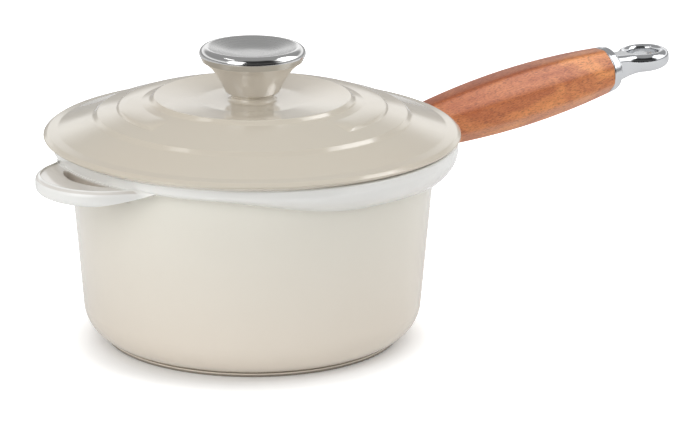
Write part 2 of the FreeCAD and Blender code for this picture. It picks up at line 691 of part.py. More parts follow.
def round_edges(shape, radius, wanted):
    edges = [e for e in shape.Edges if wanted(e)]
    return shape.makeFillet(radius, edges)


def make_tie_rod():
    """Steel rod from the tapped neck through the wood and the collar into the eye."""
    start = -ROD_IN_NECK
    end = WOOD_LENGTH + COLLAR_LENGTH + ROD_IN_EYE
    return along_handle(handle_turned([
        (start, 0, 0),
        (start, ROD_RADIUS, ROD_END_ROUND),
        (end, ROD_RADIUS, ROD_END_ROUND),
        (end, 0, 0),
    ]))


# ---------------------------------------------------------------- lid
def lid_cone(radius):
    """Height of the plain cone between the foot of ring 1 and the crest of ring 3."""
    inner = RING_RADII[0] + RING_FOOT
    low, high = RIM_HEIGHT + RING_HEIGHTS[2], RIM_HEIGHT + RING_HEIGHTS[0] - RING_STEP
    return high + (low - high) * (radius - inner) / (RING_RADII[2] - inner)


def make_lid_shell():
    """Lid without ring 2: edge bead, ring 3, cone, ring 1, dished centre, boss and skirt."""
    return turned(lid_top_corners() + lid_under_corners())


def lid_top_corners():
    """Corners of the lid's upper side, from its bore out to its edge."""
    rim = RIM_HEIGHT
    dish = rim + DISH_HEIGHT
    tier = BOSS_RADIUS - BOSS_TIER_STEP
    inner, outer = RING_RADII[0], RING_RADII[2]
    inner_top, outer_top = rim + RING_HEIGHTS[0], rim + RING_HEIGHTS[2]
    return [
        (LID_BORE_RADIUS, BOSS_TOP, 0),
        (tier, BOSS_TOP, BOSS_EDGE_ROUND),
        (tier, BOSS_TOP - BOSS_TIER, BOSS_TIER_STEP / 3),
        (BOSS_RADIUS, BOSS_TOP - BOSS_TIER, BOSS_TIER_STEP / 2),
        (BOSS_RADIUS + BOSS_FOOT_SPREAD, dish, BOSS_FOOT_ROUND),
        (BOSS_RADIUS + DISH_FLAT, dish + DISH_FLAT_RISE, DISH_ROUND),
        (inner, inner_top, RING_CREST_ROUND),
        (inner + RING_FOOT, inner_top - RING_STEP, RING_FOOT_ROUND),
        (outer, outer_top, RING_CREST_ROUND),
        (outer + RING_FOOT, outer_top - RING_STEP, RING_FOOT_ROUND),
        (LID_RADIUS - BEAD_WIDTH, rim + BEAD_HEIGHT, BEAD_HOLLOW_ROUND),
        (LID_RADIUS - BEAD_SHOULDER, rim + BEAD_HEIGHT - BEAD_FALL, BEAD_ROUND),
        (LID_RADIUS, rim + LID_EDGE_HEIGHT - BEAD_FALL, BEAD_FALL),
    ]


def lid_under_corners():
    """Corners of the lid's underside, from its edge in to its bore."""
    rim = RIM_HEIGHT
    skirt = bowl_radius(rim) - SKIRT_CLEARANCE - RIM_INNER_ROUND / 2
    inside = skirt - SKIRT_THICKNESS
    drop = RING_STEP + LID_THICKNESS
    return [
        (LID_RADIUS - LID_EDGE_LEAN, rim + LID_EDGE_GAP, LID_EDGE_LEAN),
        (LID_RADIUS - LID_EDGE_SEAT, rim, 0),
        (skirt, rim, 0),
        (skirt - SKIRT_TAPER, rim - SKIRT_DEPTH, SKIRT_ROUND),
        (inside, rim - SKIRT_DEPTH, SKIRT_ROUND),
        (inside - SKIRT_TAPER, rim + SKIRT_ROOT, SKIRT_ROOT_ROUND),
        (RING_RADII[2], rim + RING_HEIGHTS[2] - drop, RING_UNDER_ROUND),
        (RING_RADII[0], rim + RING_HEIGHTS[0] - drop, RING_UNDER_ROUND),
        (BOSS_RADIUS + BOSS_BACKING, LID_UNDERSIDE, BOSS_BACKING_ROUND),
        (LID_BORE_RADIUS, LID_UNDERSIDE, 0),
    ]


def ring_section(bearing, share):
    """Closed section of ring 2 in the upright plane at a bearing; share 0..1 is its height."""
    crest = RING_RADII[1]
    inner, outer = crest - RING_FLANK, crest + RING_FOOT + 2 * RING_SHOULDER
    rise = (RIM_HEIGHT + RING_HEIGHTS[1] - lid_cone(crest)) * share
    root = -LID_THICKNESS / 2
    outline = [(inner, root), (inner, -RING_SINK)]
    for run, height in RING_SWELL:
        outline.append((inner + run * (crest - RING_SHOULDER - inner), height * rise))
    outline.append((crest + RING_SHOULDER, RING_FALL[0] * rise))
    outline.append((crest + RING_FOOT - RING_SHOULDER, RING_FALL[1] * rise))
    outline += [(outer, -RING_SINK), (outer, root)]
    angle = math.radians(bearing)
    points = []
    for radius, above in outline:
        height = lid_cone(radius) + above
        points.append(vec(radius * math.cos(angle), radius * math.sin(angle), height))
    top = Part.BSplineCurve()
    top.interpolate(points[1:-1])
    edges = [
        Part.LineSegment(points[0], points[1]).toShape(),
        top.toShape(),
        Part.LineSegment(points[-2], points[-1]).toShape(),
        Part.LineSegment(points[-1], points[0]).toShape(),
    ]
    return Part.Wire(edges)


def make_ring_ridge():
    """Ring 2: a stepped ridge that fades out at both sides of the plain panel."""
    start = PANEL_BEARING + PANEL_HALF_WIDTH
    length = 360.0 - 2 * PANEL_HALF_WIDTH
    count = int(round(length / PANEL_FADE))
    step = length / count
    wires = []
    for i in range(count + 1):
        share = RING_END_SHARE if i in (0, count) else 1.0
        wires.append(ring_section(start + i * step, share))
    return Part.makeLoft(wires, True, False)


def make_lid():
    return make_lid_shell().fuse(make_ring_ridge())


# ---------------------------------------------------------------- knob
def knob_flank(wall):
    """Corners of the knob body's flank, from its foot up, shifted inwards by wall."""
    corners = []
    for run, rise, bend in KNOB_FLANK:
        corners.append((KNOB_FOOT_RADIUS + run - wall, BOSS_TOP + rise, bend))
    corners.append((KNOB_SEAM_RADIUS - KNOB_SEAM_STEP - wall, BOSS_TOP + KNOB_SEAM_HEIGHT, 0))
    return corners


def make_knob_body():
    """Lower shell of the knob: a trumpet with a flat foot, open at the top."""
    hole = INSERT_RADIUS + INSERT_CLEARANCE
    floor = BOSS_TOP + KNOB_WALL
    foot = [
        (hole, floor, 0),
        (hole, BOSS_TOP, 0),
        (KNOB_FOOT_RADIUS, BOSS_TOP, KNOB_FOOT_ROUND),
    ]
    inside = list(reversed(knob_flank(KNOB_WALL)))
    corner = (KNOB_FOOT_RADIUS - KNOB_WALL, floor, KNOB_INNER_ROUND / 2)
    return turned(foot + knob_flank(0.0) + inside + [corner])


def make_knob_cap():
    """Upper shell of the knob: a rolled rim round a dished top."""
    seam = BOSS_TOP + KNOB_SEAM_HEIGHT
    top = BOSS_TOP + KNOB_HEIGHT
    dish = top - KNOB_DISH_DEPTH
    wall = KNOB_WALL
    return turned([
        (0, dish, 0),
        (KNOB_DISH_RADIUS, dish, KNOB_DISH_ROUND),
        (KNOB_LIP_RADIUS, top, KNOB_LIP_ROUND),
        (KNOB_RADIUS, top, KNOB_ROLL_ROUND),
        (KNOB_RADIUS, top - KNOB_ROLL_LOW, KNOB_TURN_ROUND),
        (KNOB_SEAM_RADIUS, seam, 0),
        (KNOB_SEAM_RADIUS - wall, seam, 0),
        (KNOB_RADIUS - wall, top - KNOB_ROLL_LOW, KNOB_INNER_ROUND),
        (KNOB_RADIUS - wall, top - wall, KNOB_ROLL_ROUND - wall),
        (KNOB_LIP_RADIUS, top - wall, KNOB_INNER_ROUND),
        (KNOB_DISH_RADIUS, dish - wall, KNOB_DISH_ROUND - wall),
        (0, dish - wall, 0),
    ])


def make_knob_insert():
    """Threaded insert inside the knob, standing on the foot of the knob body."""
    flange_low = BOSS_TOP + KNOB_WALL
    return turned([
        (SCREW_RADIUS + SCREW_CLEARANCE, BOSS_TOP, 0),
        (INSERT_RADIUS, BOSS_TOP, 0),
        (INSERT_RADIUS, flange_low, 0),
        (INSERT_FLANGE_RADIUS, flange_low, INSERT_EDGE_ROUND),
        (INSERT_FLANGE_RADIUS, flange_low + INSERT_FLANGE, INSERT_EDGE_ROUND),
        (INSERT_RADIUS, flange_low + INSERT_FLANGE, INSERT_EDGE_ROUND),
        (INSERT_RADIUS, BOSS_TOP + INSERT_HEIGHT, INSERT_EDGE_ROUND),
        (SCREW_RADIUS + SCREW_CLEARANCE, BOSS_TOP + INSERT_HEIGHT, 0),
    ])


def make_knob_washer():
    top = LID_UNDERSIDE
    return turned([
        (SCREW_RADIUS + WASHER_CLEARANCE, top - WASHER_THICKNESS, 0),
        (WASHER_RADIUS, top - WASHER_THICKNESS, FASTENER_EDGE_ROUND),
        (WASHER_RADIUS, top, FASTENER_EDGE_ROUND),
        (SCREW_RADIUS + WASHER_CLEARANCE, top, 0),
    ])


def make_knob_screw():
    """Pan-head screw from under the lid up into the insert, with a driver slot."""
    seat = LID_UNDERSIDE - WASHER_THICKNESS
    low = seat - SCREW_HEAD_HEIGHT
    end = BOSS_TOP + SCREW_IN_INSERT
    screw = turned([
        (0, low, 0),
        (SCREW_HEAD_RADIUS, low, SCREW_HEAD_ROUND),
        (SCREW_HEAD_RADIUS, seat, FASTENER_EDGE_ROUND),
        (SCREW_RADIUS, seat, 0),
        (SCREW_RADIUS, end, SCREW_END_ROUND),
        (0, end, 0),
    ])
    width = 2 * (SCREW_HEAD_RADIUS + CUT_SPARE)
    slot = Part.makeBox(width, SCREW_SLOT_WIDTH, SCREW_SLOT_DEPTH + CUT_SPARE)
    slot.translate(vec(-width / 2, -SCREW_SLOT_WIDTH / 2, low - CUT_SPARE))
    return screw.cut(slot)


PIECES = {
    "pan_body": make_pan_body,
    "wood_handle": make_wood_handle,
    "end_collar": make_end_collar,
    "hanging_eye": make_hanging_eye,
    "tie_rod": make_tie_rod,
    "lid": make_lid,
    "knob_body": make_knob_body,
    "knob_cap": make_knob_cap,
    "knob_insert": make_knob_insert,
    "knob_washer": make_knob_washer,
    "knob_screw": make_knob_screw,
}


def main():
    os.makedirs("parts", exist_ok=True)
    for name, make in PIECES.items():
        shape = make()
        solids = shape.Solids
        print(name, "solids", len(solids), "valid", shape.isValid(), "volume", round(shape.Volume, 1))
        piece = solids[0] if len(solids) == 1 else shape
        piece.exportStep("parts/" + name + ".step")


main()
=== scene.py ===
import math

import bpy
from mathutils import Matrix, Vector

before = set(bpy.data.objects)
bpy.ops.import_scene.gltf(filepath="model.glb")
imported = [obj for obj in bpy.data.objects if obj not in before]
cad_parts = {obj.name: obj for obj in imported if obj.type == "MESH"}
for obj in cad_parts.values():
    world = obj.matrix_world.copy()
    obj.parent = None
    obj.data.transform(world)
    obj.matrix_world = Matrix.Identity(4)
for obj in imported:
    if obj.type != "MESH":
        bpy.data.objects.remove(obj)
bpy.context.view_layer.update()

MM = 0.001

# ---------------------------------------------------------------- the pan's own sizes, as in the frame
RIM_HEIGHT = 95 * MM
WALL_FOOT_RADIUS = 77.65 * MM
WALL_DRAFT = math.radians(4.8)
HANDLE_TILT = math.radians(5.4)
GRIP_AXIS_HEIGHT = 73.6 * MM              # with the tilt taken out
LOOP_FLOOR = 90.0 * MM
FLARE_BACK_DEPTH = 7.8 * MM               # depth of the flange below the rim, at the loop
FLARE_LIP_DEPTH = 7.4 * MM                # what the pouring lips add to it
FLARE_LIP_BEARINGS = (92.0, 140.0)        # degrees from the handle over which they fade
FLARE_NECK_DEPTH = 19.4 * MM              # what the neck adds
FLARE_NECK_SPREAD = 43.7

# ---------------------------------------------------------------- studio
FRONT = Vector((-0.616, -0.788, 0.0))     # level direction that the studio's front faces
RIGHT = Vector((0.788, -0.616, 0.0))
DARK_SIDE = Vector((-0.353, -0.936, 0.0)) # middle of the room's dark side
ROOM_BAND = 1.25                          # bright band of the wall, low all round
ROOM_HIGH = 0.42                          # the rest of the room
ROOM_DARK = 0.10                          # share of that light left on the dark side
BAND_BOTTOM = (0.11, 0.19)                # soft edges, as heights on the room's unit sphere
BAND_TOP = (0.26, 0.44)
DARK_TOP = (0.80, 0.98)
DARK_EDGE = (0.60, 0.88)                  # cosines of the angle from the middle of the dark side
POLE_GUARD = 1.0001                       # keeps the level length above zero at the zenith
PAPER_WHITE = (0.86, 0.86, 0.86, 1)
PAPER_ROUGHNESS = 0.95
PAPER_SIZE = 6.0
PAPER_AHEAD = 0.30                        # metres of paper in front of the pan
PAPER_GLOW = 0.06                         # the paper's own glow
PAPER_FAR_GLOW = 0.85                     # what the camera sees added to it away from the pan
SHADOW_EDGE = (0.060, 0.110)              # radii between which that starts; this glow paints where the shadow fades
SHADOW_SHIFT = FRONT * 0.012              # the painted edge of the shadow lies a little in front of the pan
BOX_TARGET = Vector((0, 0, 0.06))         # the place that every softbox faces
LIGHTS_ALL, LIGHTS_MATT, LIGHTS_SHINE = (True, True), (True, False), (False, True)
SOFTBOXES = (
    # name, degrees right of the front, elevation, distance, width, height, glow, what it lights
    ("top_box", 0.0, 90.0, 2.0, 2.0, 2.0, 1.0, LIGHTS_MATT),
    ("left_box", -36.0, 24.0, 1.2, 0.70, 0.90, 2.1, LIGHTS_ALL),
    ("right_box", 94.0, 34.0, 1.3, 1.0, 0.95, 1.5, LIGHTS_ALL),
    ("fill_box", 4.0, 30.0, 1.6, 1.4, 1.0, 1.5, LIGHTS_MATT),
    ("grip_box", 103.0, 50.0, 1.2, 0.50, 0.40, 3.4, LIGHTS_SHINE),
    ("crest_box", -80.0, 60.0, 1.4, 0.55, 0.15, 2.4, LIGHTS_SHINE),
)

# ---------------------------------------------------------------- camera
CAMERA_PLACE = Vector((-1.0681, -1.4410, 0.5774))
CAMERA_AZIMUTH = math.radians(-38.0)
CAMERA_ELEVATION = math.radians(16.156)
CAMERA_ROLL = math.radians(0.388)
CAMERA_SENSOR = 36.0
CAMERA_LENS = 205.71
CAMERA_CLIP = (0.05, 30.0)


def srgb(red, green, blue):
    """Linear colour from 0-255 screen values."""
    channels = []
    for value in (red, green, blue):
        share = value / 255
        channels.append(share / 12.92 if share <= 0.04045 else ((share + 0.055) / 1.055) ** 2.4)
    return (*channels, 1)


# ---------------------------------------------------------------- enamel
# A noise is (scale per metre, detail, roughness, distortion); a bump is (strength, height in metres).
# An edge is the pair of values between which something changes; a share says how much, from end to end.
CREAM_TOP = srgb(230, 227, 216)
CREAM_LOW = srgb(222, 212, 198)
ENAMEL_WHITE = srgb(238, 238, 235)
# painted shade in the recess on top of the loop
RECESS_PAINTED_SHADE = srgb(216, 212, 206)
# painted shade on the walls of the finger slot, under the loop
SLOT_PAINTED_SHADE = srgb(186, 177, 166)
# bare iron on the foot; its grey is also a painted dark line for the contact shadow
FOOT_IRON_AND_SHADE = srgb(132, 124, 112)
LID_BEIGE = srgb(205, 197, 182)
LID_WARM = srgb(206, 196, 180)
WHITE_EDGE = (-0.6 * MM, 1.6 * MM)        # above the flange's root
PROUD_EDGE = (1.2 * MM, 3.2 * MM)         # what stands out from the wall this far is white
PROUD_HEIGHT = (40 * MM, 60 * MM)         # where it is high enough
CREAM_HEIGHT = (8 * MM, 84 * MM)
LOOP_BEARINGS = (140.0, 141.0)
LOOP_INSIDE = (93.6 * MM, 94.4 * MM)
RECESS_EDGE = (0.3 * MM, 0.7 * MM)
SLOT_BEARINGS = (166.0, 169.0)
SLOT_TOP = (90.4 * MM, 88.6 * MM)
SLOT_BOTTOM = (80.0 * MM, 82.0 * MM)
SLOT_OUTSIDE = (101.5 * MM, 100.7 * MM)
FOOT_EDGE = (0.9 * MM, 1.3 * MM)
MOTTLE_NOISE = (45.0, 3.0, 0.55)
MOTTLE_EDGE = (0.3, 0.7)
MOTTLE_SHARE = (0.0, 0.05)
MOTTLE_TINT = (0.62, 0.55, 0.45, 1)
GLOSS_NOISE = (160.0, 2.0, 0.5)
GLOSS_EDGE = (0.35, 0.65)
ENAMEL_ROUGHNESS = (0.1, 0.16)
PEEL_NOISE = (420.0, 2.0, 0.5)
PEEL_BUMP = (0.04, 0.00006)
WAVE_NOISE = (70.0, 1.0, 0.4)
WAVE_BUMP = (0.06, 0.0002)
ENAMEL_IOR = 1.5
ENAMEL_COAT = 0.35
ENAMEL_COAT_ROUGHNESS = 0.05
LID_DRIFT_NOISE = (9.0, 1.0, 0.4)
LID_DRIFT_EDGE = (0.35, 0.65)

# ---------------------------------------------------------------- wood
WOOD_LIGHT = srgb(234, 150, 80)
WOOD_DARK = srgb(182, 94, 42)
WOOD_BAND = srgb(206, 120, 60)
WOOD_PORE = srgb(112, 50, 22)
WOOD_FLECK = srgb(228, 150, 86)
# painted shade on the grip's top face
WOOD_TOP_SHADE = srgb(126, 48, 10)
CLOUD_STRETCH = (0.45, 1, 1)
CLOUD_NOISE = (55.0, 3.0, 0.55, 0.8)
CLOUD_EDGE = (0.36, 0.64)
BAND_STRETCH = (0.12, 1, 1)
BAND_NOISE = (330.0, 3.0, 0.6, 0.3)
BAND_EDGE = (0.38, 0.66)
BAND_SHARE = (0.0, 0.45)
PORE_STRETCH = (0.28, 1, 1)
PORE_NOISE = (1900.0, 3.0, 0.65)
PORE_EDGE = (0.46, 0.70)
PORE_SHARE = (0.0, 0.62)
PORE_BUMP = (0.35, 0.00012)
FLECK_EDGE = (0.26, 0.44)
FLECK_SHARE = (0.4, 0.0)
ROOT_EDGE = (100 * MM, 160 * MM)          # the grip is darker towards the pan
ROOT_SHARE = (0.55, 0.0)
TOP_EDGE = (0.30, 0.54)                   # and, as painted shade, on its top, by how far aside over how far up
TOP_SHADE_SHARE = (0.48, 0.0)
WOOD_GLOSS_EDGE = (0.3, 0.7)
WOOD_ROUGHNESS = (0.36, 0.52)
WOOD_COAT = 0.4
WOOD_COAT_ROUGHNESS = 0.34

# ---------------------------------------------------------------- metals
CHROME_COLORS = ((0.68, 0.69, 0.705, 1), (0.60, 0.61, 0.63, 1))
CHROME_TINT_NOISE = (60.0,)
CHROME_WAVE_NOISE = (260.0,)
CHROME_WAVE_BUMP = (0.04, 0.0002)
SMUDGE_NOISE = (130.0, 3.0, 0.6)
SMUDGE_EDGE = (0.35, 0.75)
CHROME_ROUGHNESS = (0.05, 0.13)
TURNING_SCALE = 3600.0                    # marks per metre that the lathe left
TURNING_DETAIL = 2.0
TURNING_EDGE = (0.3, 0.7)
TURNING_GRAIN = (-0.03, 0.03)             # what they add to the roughness
TURNING_DEPTH_EDGE = (0.08, 0.22)         # the smoother the steel, the shallower they are
TURNING_BUMP = (0.10, 0.00005)
BODY_STEEL_COLORS = ((0.93, 0.92, 0.91, 1), (1.0, 0.99, 0.98, 1))
BODY_POLISH_EDGE = (12 * MM, 22 * MM)     # radii over which the polish changes
BODY_POLISH = (0.18, 0.14)
CAP_STEEL_COLORS = ((0.60, 0.60, 0.595, 1), (0.68, 0.68, 0.675, 1))
CAP_POLISH_EDGE = (19.6 * MM, 21.0 * MM)
CAP_POLISH = (0.30, 0.13)
STEEL_COLORS = ((0.5, 0.5, 0.5, 1), (0.62, 0.62, 0.61, 1))
STEEL_NOISE = (700.0, 3.0, 0.6)
STEEL_EDGE = (0.3, 0.7)
STEEL_ROUGHNESS = (0.28, 0.42)


# ---------------------------------------------------------------- material helpers
class Sums:
    """Short names for the maths nodes of one material."""

    def __init__(self, nodes, links):
        self.nodes = nodes
        self.links = links

    def plug(self, value, socket):
        if isinstance(value, (int, float, tuple)):
            socket.default_value = value
        else:
            self.links.new(value, socket)

    def math(self, operation, first, second=0.0, third=0.0):
        node = self.nodes.new("ShaderNodeMath")
        node.operation = operation
        for socket, value in zip(node.inputs, (first, second, third)):
            self.plug(value, socket)
        return node.outputs[0]

    def ramp(self, value, edge, ends=(0.0, 1.0), smooth=True):
        node = self.nodes.new("ShaderNodeMapRange")
        node.interpolation_type = "SMOOTHSTEP" if smooth else "LINEAR"
        for name, number in zip(("From Min", "From Max", "To Min", "To Max"), (*edge, *ends)):
            node.inputs[name].default_value = number
        self.plug(value, node.inputs["Value"])
        return node.outputs["Result"]

    def mix(self, share, first, second):
        node = self.nodes.new("ShaderNodeMix")
        node.data_type = "RGBA"
        self.plug(share, node.inputs["Factor"])
        colors = [socket for socket in node.inputs if socket.type == "RGBA"]
        for socket, value in zip(colors, (first, second)):
            self.plug(value, socket)
        return next(socket for socket in node.outputs if socket.type == "RGBA")

    def place(self):
        """Object coordinates, which are the row frame in metres."""
        return self.nodes.new("ShaderNodeTexCoord").outputs["Object"]

    def split(self, vector):
        node = self.nodes.new("ShaderNodeSeparateXYZ")
        self.links.new(vector, node.inputs[0])
        return tuple(node.outputs)

    def mapped(self, vector, rotation=(0, 0, 0), scale=(1, 1, 1)):
        node = self.nodes.new("ShaderNodeMapping")
        self.links.new(vector, node.inputs["Vector"])
        node.inputs["Rotation"].default_value = rotation
        node.inputs["Scale"].default_value = scale
        return node.outputs[0]

    def noise(self, vector, scale, detail=2.0, roughness=0.5, distortion=0.0):
        node = self.nodes.new("ShaderNodeTexNoise")
        self.links.new(vector, node.inputs["Vector"])
        node.inputs["Scale"].default_value = scale
        node.inputs["Detail"].default_value = detail
        node.inputs["Roughness"].default_value = roughness
        node.inputs["Distortion"].default_value = distortion
        return node.outputs["Fac"]

    def bump(self, height, strength, distance, normal=None):
        node = self.nodes.new("ShaderNodeBump")
        node.inputs["Strength"].default_value = strength
        node.inputs["Distance"].default_value = distance
        self.plug(height, node.inputs["Height"])
        if normal is not None:
            self.links.new(normal, node.inputs["Normal"])
        return node.outputs[0]

    def camera_ray(self):
        return self.nodes.new("ShaderNodeLightPath").outputs["Is Camera Ray"]

    def polar(self, x, y):
        """Distance from the axis, and bearing from the long handle in degrees, unsigned."""
        squares = self.math("ADD", self.math("MULTIPLY", x, x), self.math("MULTIPLY", y, y))
        turn = self.math("ARCTAN2", self.math("ABSOLUTE", y), x)
        return self.math("SQRT", squares), self.math("MULTIPLY", turn, math.degrees(1))


def new_material(name):
    """Material with its maths helper and a function that gives its shader a value."""
    material = bpy.data.materials.new(name)
    material.use_nodes = True
    tree = material.node_tree
    sums = Sums(tree.nodes, tree.links)
    inputs = tree.nodes["Principled BSDF"].inputs

    def give(name, value):
        sums.plug(value, inputs[name])

    return material, sums, give


# ---------------------------------------------------------------- camera
def make_camera():
    data = bpy.data.cameras.new("camera")
    data.sensor_fit = "HORIZONTAL"
    data.sensor_width = CAMERA_SENSOR
    data.lens = CAMERA_LENS
    data.clip_start, data.clip_end = CAMERA_CLIP
    camera = bpy.data.objects.new("camera", data)
    bpy.context.scene.collection.objects.link(camera)
    flat = math.cos(CAMERA_ELEVATION)
    back = Vector((
        math.sin(CAMERA_AZIMUTH) * flat,
        -math.cos(CAMERA_AZIMUTH) * flat,
        math.sin(CAMERA_ELEVATION),
    ))
    right = Vector((math.cos(CAMERA_AZIMUTH), math.sin(CAMERA_AZIMUTH), 0))
    up = back.cross(right)
    turned_right = right * math.cos(CAMERA_ROLL) + up * math.sin(CAMERA_ROLL)
    turned_up = up * math.cos(CAMERA_ROLL) - right * math.sin(CAMERA_ROLL)
    turn = Matrix((turned_right, turned_up, back)).transposed().to_4x4()
    camera.matrix_world = Matrix.Translation(CAMERA_PLACE) @ turn
    bpy.context.scene.camera = camera


# ---------------------------------------------------------------- stage and light
def floor_paper():
    """White paper; away from the pan the camera sees it as white as the background, and that glow paints
    where the shadow around the pan fades.
    """
    material, sums, give = new_material("floor_paper")
    give("Base Color", PAPER_WHITE)
    give("Roughness", PAPER_ROUGHNESS)
    give("Specular IOR Level", 0.0)
    give("Emission Color", (1, 1, 1, 1))
    x, y = sums.split(sums.place())[:2]
    shifted = (sums.math("SUBTRACT", x, SHADOW_SHIFT.x), sums.math("SUBTRACT", y, SHADOW_SHIFT.y))
    far = sums.ramp(sums.polar(*shifted)[0], SHADOW_EDGE, (0.0, PAPER_FAR_GLOW))
    give("Emission Strength", sums.math("MULTIPLY_ADD", far, sums.camera_ray(), PAPER_GLOW))
    return material


def make_floor():
    mesh = bpy.data.meshes.new("floor")
    ahead, back, side = FRONT * PAPER_AHEAD, FRONT * -PAPER_SIZE, RIGHT * PAPER_SIZE
    corners = [ahead - side, ahead + side, back + side, back - side]
    mesh.from_pydata(corners, [], [(0, 1, 2, 3)])
    mesh.materials.append(floor_paper())
    floor = bpy.data.objects.new("floor", mesh)
    bpy.context.scene.collection.objects.link(floor)


def studio_direction(side, elevation):
    """Unit vector in the studio: side is degrees to the right of the front, elevation degrees up."""
    turn, rise = math.radians(side), math.radians(elevation)
    flat = FRONT * math.cos(turn) + RIGHT * math.sin(turn)
    return flat * math.cos(rise) + Vector((0, 0, math.sin(rise)))


def make_softbox(name, side, elevation, distance, width, height, glow, lights):
    """Area light that faces the pan; glow is its brightness beside the white background's 1."""
    data = bpy.data.lights.new(name, "AREA")
    data.shape = "RECTANGLE"
    data.size = width
    data.size_y = height
    data.energy = glow * math.pi * width * height
    light = bpy.data.objects.new(name, data)
    bpy.context.scene.collection.objects.link(light)
    light.visible_diffuse, light.visible_glossy = lights
    light.location = BOX_TARGET + studio_direction(side, elevation) * distance
    light.rotation_mode = "QUATERNION"
    light.rotation_quaternion = (BOX_TARGET - light.location).to_track_quat("-Z", "Y")


def make_world():
    """Pale room, bright low on its walls, dark where the pan's front faces it, white to the camera."""
    world = bpy.data.worlds.new("studio")
    world.use_nodes = True
    bpy.context.scene.world = world
    nodes = world.node_tree.nodes
    sums = Sums(nodes, world.node_tree.links)
    x, y, z = sums.split(nodes.new("ShaderNodeTexCoord").outputs["Generated"])
    flat = sums.math("SQRT", sums.math("SUBTRACT", POLE_GUARD, sums.math("MULTIPLY", z, z)))
    ahead = sums.math("ADD", sums.math("MULTIPLY", x, DARK_SIDE.x), sums.math("MULTIPLY", y, DARK_SIDE.y))
    facing = sums.math("DIVIDE", ahead, flat)
    band = sums.math("MULTIPLY", sums.ramp(z, BAND_BOTTOM), sums.ramp(z, BAND_TOP, (1.0, 0.0)))
    wall = sums.ramp(band, (0.0, 1.0), (ROOM_HIGH, ROOM_BAND), smooth=False)
    dark = sums.math("MULTIPLY", sums.ramp(facing, DARK_EDGE), sums.ramp(z, DARK_TOP, (1.0, 0.0)))
    level = sums.math("MULTIPLY", wall, sums.ramp(dark, (0.0, 1.0), (1.0, ROOM_DARK)))
    seen = sums.camera_ray()
    shown = sums.math("MULTIPLY_ADD", level, sums.math("SUBTRACT", 1.0, seen), seen)
    background = nodes["Background"].inputs
    sums.plug((1.0, 1.0, 1.0, 1), background["Color"])
    sums.plug(shown, background["Strength"])


# ---------------------------------------------------------------- materials
def finish_enamel(sums, give, place, color):
    """Glossy vitreous enamel: soft mottling, fine orange peel and small changes of gloss."""
    mottle = sums.ramp(sums.noise(place, *MOTTLE_NOISE), MOTTLE_EDGE, MOTTLE_SHARE, smooth=False)
    give("Base Color", sums.mix(mottle, color, MOTTLE_TINT))
    gloss = sums.noise(place, *GLOSS_NOISE)
    give("Roughness", sums.ramp(gloss, GLOSS_EDGE, ENAMEL_ROUGHNESS, smooth=False))
    fine = sums.bump(sums.noise(place, *PEEL_NOISE), *PEEL_BUMP)
    give("Normal", sums.bump(sums.noise(place, *WAVE_NOISE), *WAVE_BUMP, fine))
    give("IOR", ENAMEL_IOR)
    give("Coat Weight", ENAMEL_COAT)
    give("Coat Roughness", ENAMEL_COAT_ROUGHNESS)


def flange_root(sums, bearing):
    """Height at which the flange's sweep meets the wall, by bearing."""
    lip = sums.ramp(bearing, FLARE_LIP_BEARINGS, (FLARE_LIP_DEPTH, 0.0))
    spread = sums.math("MULTIPLY", bearing, 1 / FLARE_NECK_SPREAD)
    fall = sums.math("EXPONENT", sums.math("MULTIPLY", sums.math("MULTIPLY", spread, spread), -1.0))
    neck = sums.math("MULTIPLY", fall, FLARE_NECK_DEPTH)
    depth = sums.math("ADD", sums.math("ADD", lip, neck), FLARE_BACK_DEPTH)
    return sums.math("SUBTRACT", RIM_HEIGHT, depth)


def wall_color(sums, z, radius, bearing):
    """Cream on the wall, warmer towards the foot; white on the flange, the loop and the neck."""
    above = sums.math("SUBTRACT", z, flange_root(sums, bearing))
    wall = sums.math("MULTIPLY_ADD", z, math.tan(WALL_DRAFT), WALL_FOOT_RADIUS)
    proud = sums.ramp(sums.math("SUBTRACT", radius, wall), PROUD_EDGE)
    proud_high = sums.math("MULTIPLY", proud, sums.ramp(z, PROUD_HEIGHT))
    white = sums.math("MAXIMUM", sums.ramp(above, WHITE_EDGE), proud_high)
    cream = sums.mix(sums.ramp(z, CREAM_HEIGHT, smooth=False), CREAM_LOW, CREAM_TOP)
    return sums.mix(white, cream, ENAMEL_WHITE)


def shade_loop(sums, z, radius, bearing, base):
    """Painted shade: the recess on top of the loop is greyer, and the finger slot's walls are greyer
    still.
    """
    outside = sums.math("MULTIPLY", sums.ramp(radius, LOOP_INSIDE), sums.ramp(bearing, LOOP_BEARINGS))
    off_floor = sums.math("ABSOLUTE", sums.math("SUBTRACT", z, LOOP_FLOOR))
    sunk = sums.math("MULTIPLY", outside, sums.ramp(off_floor, RECESS_EDGE, (1.0, 0.0)))
    # painted shade on the recess floor
    recess_shaded = sums.mix(sunk, base, RECESS_PAINTED_SHADE)
    # painted shade on the finger slot's walls
    in_slot = sums.math("MULTIPLY", sums.ramp(bearing, SLOT_BEARINGS), sums.ramp(z, SLOT_TOP))
    in_loop = sums.math("MULTIPLY", in_slot, sums.ramp(z, SLOT_BOTTOM))
    near_slot = sums.math("MULTIPLY", in_loop, sums.ramp(radius, SLOT_OUTSIDE))
    return sums.mix(near_slot, recess_shaded, SLOT_PAINTED_SHADE)


